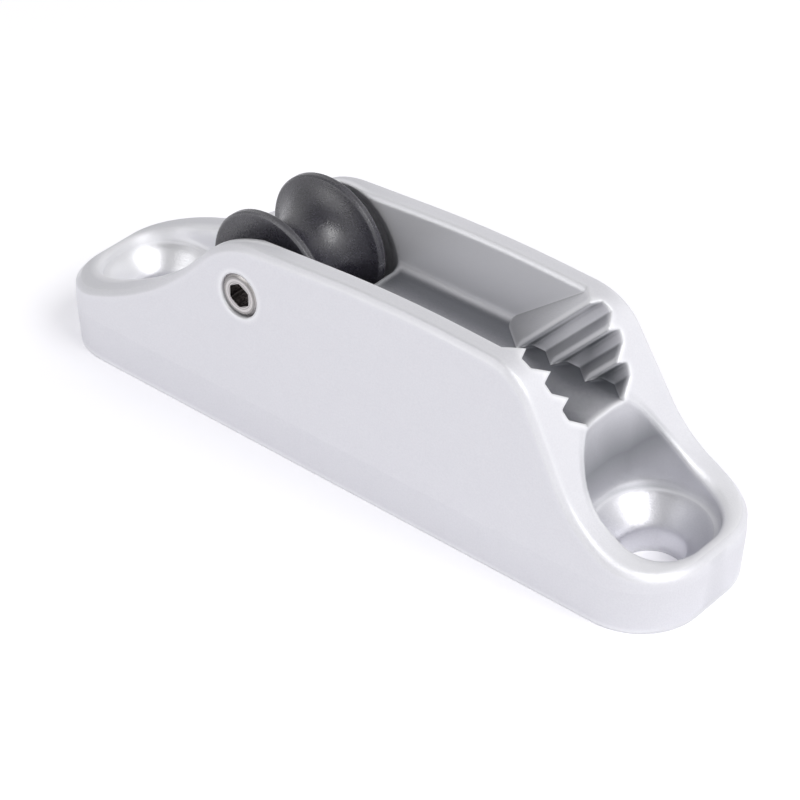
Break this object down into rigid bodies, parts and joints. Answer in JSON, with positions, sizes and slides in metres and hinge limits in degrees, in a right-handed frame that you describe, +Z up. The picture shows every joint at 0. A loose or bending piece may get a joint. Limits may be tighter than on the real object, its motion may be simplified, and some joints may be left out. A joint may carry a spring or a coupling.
{
  "type": "jam cleat",
  "caption": "Cast rope-jamming cleat with inclined saw-toothed jaws in an open channel, a fairlead roller on a pin and a countersunk screw well at each end",
  "frame": {"origin": "centre of the flat base, on the surface that the cleat is screwed to", "axes": "+X along the length towards the toothed jaws, +Y across towards the far wall, +Z up away from the deck"},
  "size_m": [0.0662, 0.0162, 0.02],
  "materials": {
    "cast_alloy": "satin anodised casting",
    "roller_plastic": "matte",
    "pin_steel": "satin stainless"
  },
  "bodies": {
    "cleat": {"cleat_body": "cast_alloy", "axle_pin": "pin_steel"},
    "roller": {"roller": "roller_plastic"}
  },
  "joints": [
    {"name": "roller_spin", "type": "hinge", "parent": "cleat", "child": "roller", "pos_m": [-0.01034, 0, 0.014], "axis": [0, 1, 0], "continuous": true}
  ]
}
